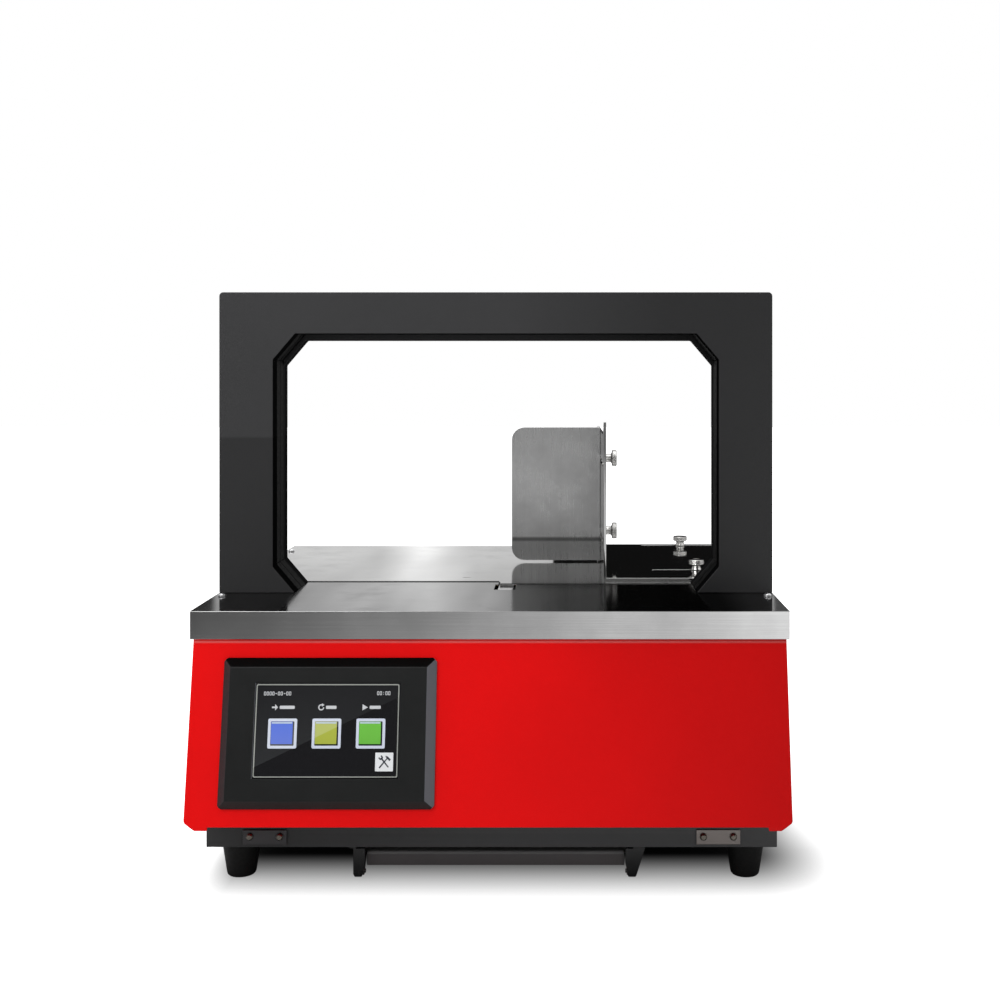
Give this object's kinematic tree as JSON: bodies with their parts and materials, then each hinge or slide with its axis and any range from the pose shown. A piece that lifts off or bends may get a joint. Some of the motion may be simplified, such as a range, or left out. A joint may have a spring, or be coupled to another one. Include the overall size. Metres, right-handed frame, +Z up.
{
  "type": "semi automatic strapping machine",
  "caption": "Table-top banding machine with an arch over a steel worktop, a sliding side guide and back stop, a touch panel and a reel behind.",
  "frame": {"origin": "on the bench, under the middle of the machine's width and depth", "axes": "+X to the operator's right, +Y to the back, +Z up; the touch panel faces -Y"},
  "size_m": [0.427, 0.422, 0.435],
  "materials": {
    "tray_paint": "dark grey powder coat",
    "foot_rubber": "matt moulded rubber",
    "zinc_screws": "bright zinc",
    "bar_steel": "dark satin coat",
    "hood_paint": "red fine-texture powder coat",
    "stainless": "brushed stainless steel",
    "frame_steel": "zinc-plated sheet",
    "arch_paint": "black satin powder coat",
    "leaf_plastic": "black flexible plastic",
    "knob_nickel": "bright nickel",
    "hmi_plastic": "fine-grain black plastic",
    "screen_glass": "glossy touch screen",
    "tool_steel": "ground tool steel",
    "brass_parts": "turned brass",
    "motor_black": "black motor enamel",
    "board_green": "green solder mask",
    "fitting_plastic": "black moulded plastic",
    "rocker_red": "red rocker",
    "reel_plastic": "black moulded plastic",
    "band_paper": "coated paper band"
  },
  "bodies": {
    "machine": {"base_tray": "tray_paint", "rubber_feet": "foot_rubber", "foot_bolts": "zinc_screws", "tie_plates": "frame_steel", "tie_plate_screws": "zinc_screws", "bar_brackets": "bar_steel", "bar_pins": "zinc_screws", "start_switch": "fitting_plastic", "housing": "hood_paint", "rear_panel": "tray_paint", "cover_screws": "zinc_screws", "end_frames": "frame_steel", "worktop_front": "stainless", "worktop_rear": "stainless", "worktop_screws": "zinc_screws", "clamp_inserts": "zinc_screws", "arch_front_cover": "arch_paint", "arch_rear_cover": "arch_paint", "band_track": "frame_steel", "rear_leaves": "leaf_plastic", "hmi_bezel": "hmi_plastic", "hmi_screen": "screen_glass", "hmi_case": "hmi_plastic", "head_block": "frame_steel", "head_cheeks": "frame_steel", "cam_bearings": "brass_parts", "cam_motor": "motor_black", "feed_plate": "frame_steel", "feed_motor": "motor_black", "turn_bars": "tool_steel", "control_board": "board_green", "power_supply": "frame_steel", "start_sensor": "fitting_plastic", "power_inlet": "fitting_plastic", "pedal_socket": "zinc_screws", "reel_spindle": "tool_steel"},
    "start_bar": {"start_bar": "bar_steel"},
    "flap_left": {"flap_left": "leaf_plastic"},
    "flap_top": {"flap_top": "leaf_plastic"},
    "flap_right": {"flap_right": "leaf_plastic"},
    "guide": {"side_guide": "stainless"},
    "stop": {"back_stop": "stainless", "stop_nuts": "zinc_screws"},
    "guide_knob_front": {"guide_knob_front": "knob_nickel"},
    "guide_knob_rear": {"guide_knob_rear": "knob_nickel"},
    "stop_knob_upper": {"stop_knob_upper": "knob_nickel"},
    "stop_knob_lower": {"stop_knob_lower": "knob_nickel"},
    "gripper_left": {"gripper_left": "tool_steel"},
    "gripper_right": {"gripper_right": "tool_steel"},
    "press_head": {"press_head": "brass_parts"},
    "cutter": {"cutter": "tool_steel"},
    "anvil": {"anvil": "tool_steel"},
    "cam_shaft": {"cam_shaft": "tool_steel"},
    "feed_roller": {"feed_roller": "tool_steel"},
    "pinch_arm": {"pinch_arm": "frame_steel"},
    "pinch_roller": {"pinch_roller": "tool_steel"},
    "power_rocker": {"power_rocker": "rocker_red"},
    "reel": {"reel": "reel_plastic", "band_roll": "band_paper", "reel_knob": "reel_plastic"}
  },
  "joints": [
    {"name": "start_bar_press", "type": "hinge", "parent": "machine", "child": "start_bar", "pos_m": [0.0024, -0.153, 0.0066], "axis": [-1, 0, 0], "range_deg": [0, 8], "stiffness_Nm_per_rad": 0.05},
    {"name": "flap_left_swing", "type": "hinge", "parent": "machine", "child": "flap_left", "pos_m": [-0.1737, -0.0904, 0.313], "axis": [0, 0, -1], "range_deg": [0, 25], "stiffness_Nm_per_rad": 0.01},
    {"name": "flap_right_swing", "type": "hinge", "parent": "machine", "child": "flap_right", "pos_m": [0.1737, -0.0904, 0.313], "axis": [0, 0, 1], "range_deg": [0, 25], "stiffness_Nm_per_rad": 0.01},
    {"name": "flap_top_swing", "type": "hinge", "parent": "machine", "child": "flap_top", "pos_m": [0, -0.0904, 0.4047], "axis": [-1, 0, 0], "range_deg": [0, 25], "stiffness_Nm_per_rad": 0.05},
    {"name": "guide_slide", "type": "slide", "parent": "machine", "child": "guide", "axis": [1, 0, 0], "range_m": [-0.029, 0.034]},
    {"name": "stop_slide", "type": "slide", "parent": "guide", "child": "stop", "axis": [0, 1, 0], "range_m": [-0.095, 0.07]},
    {"name": "guide_knob_front_turn", "type": "hinge", "parent": "machine", "child": "guide_knob_front", "pos_m": [0.165, -0.005, 0.2052], "axis": [0, 0, 1], "range_deg": [-45, 270]},
    {"name": "guide_knob_rear_turn", "type": "hinge", "parent": "machine", "child": "guide_knob_rear", "pos_m": [0.165, 0.151, 0.2052], "axis": [0, 0, 1], "range_deg": [-45, 270]},
    {"name": "stop_knob_upper_turn", "type": "hinge", "parent": "stop", "child": "stop_knob_upper", "pos_m": [0.0871, 0.072, 0.2955], "axis": [1, 0, 0], "range_deg": [-45, 270]},
    {"name": "stop_knob_lower_turn", "type": "hinge", "parent": "stop", "child": "stop_knob_lower", "pos_m": [0.0871, 0.072, 0.2295], "axis": [1, 0, 0], "range_deg": [-45, 270]},
    {"name": "gripper_left_lift", "type": "slide", "parent": "machine", "child": "gripper_left", "axis": [0, 0, 1], "range_m": [0, 0.004]},
    {"name": "gripper_right_lift", "type": "slide", "parent": "machine", "child": "gripper_right", "axis": [0, 0, 1], "range_m": [0, 0.004]},
    {"name": "press_lift", "type": "slide", "parent": "machine", "child": "press_head", "axis": [0, 0, 1], "range_m": [0, 0.0035]},
    {"name": "cutter_lift", "type": "slide", "parent": "machine", "child": "cutter", "axis": [0, 0, 1], "range_m": [0, 0.006]},
    {"name": "anvil_retract", "type": "slide", "parent": "machine", "child": "anvil", "axis": [0, 1, 0], "range_m": [0, 0.028]},
    {"name": "cam_turn", "type": "hinge", "parent": "machine", "child": "cam_shaft", "pos_m": [0, -0.079, 0.098], "axis": [1, 0, 0], "continuous": true},
    {"name": "feed_spin", "type": "hinge", "parent": "machine", "child": "feed_roller", "pos_m": [0.1, -0.078, 0.15], "axis": [0, 1, 0], "continuous": true},
    {"name": "pinch_arm_lift", "type": "hinge", "parent": "machine", "child": "pinch_arm", "pos_m": [0.128, -0.064, 0.168], "axis": [0, 1, 0], "range_deg": [0, 12]},
    {"name": "pinch_spin", "type": "hinge", "parent": "pinch_arm", "child": "pinch_roller", "pos_m": [0.1, -0.078, 0.1743], "axis": [0, 1, 0], "continuous": true},
    {"name": "power_switch", "type": "hinge", "parent": "machine", "child": "power_rocker", "pos_m": [-0.16625, 0.1595, 0.125], "axis": [1, 0, 0], "range_deg": [-7.5, 7.5]},
    {"name": "reel_spin", "type": "hinge", "parent": "machine", "child": "reel", "pos_m": [-0.06, 0.182, 0.106], "axis": [0, 1, 0], "continuous": true}
  ],
  "couplings": [
    {"joint": "pinch_spin", "follows": "feed_spin", "ratio": -1.6667}
  ]
}
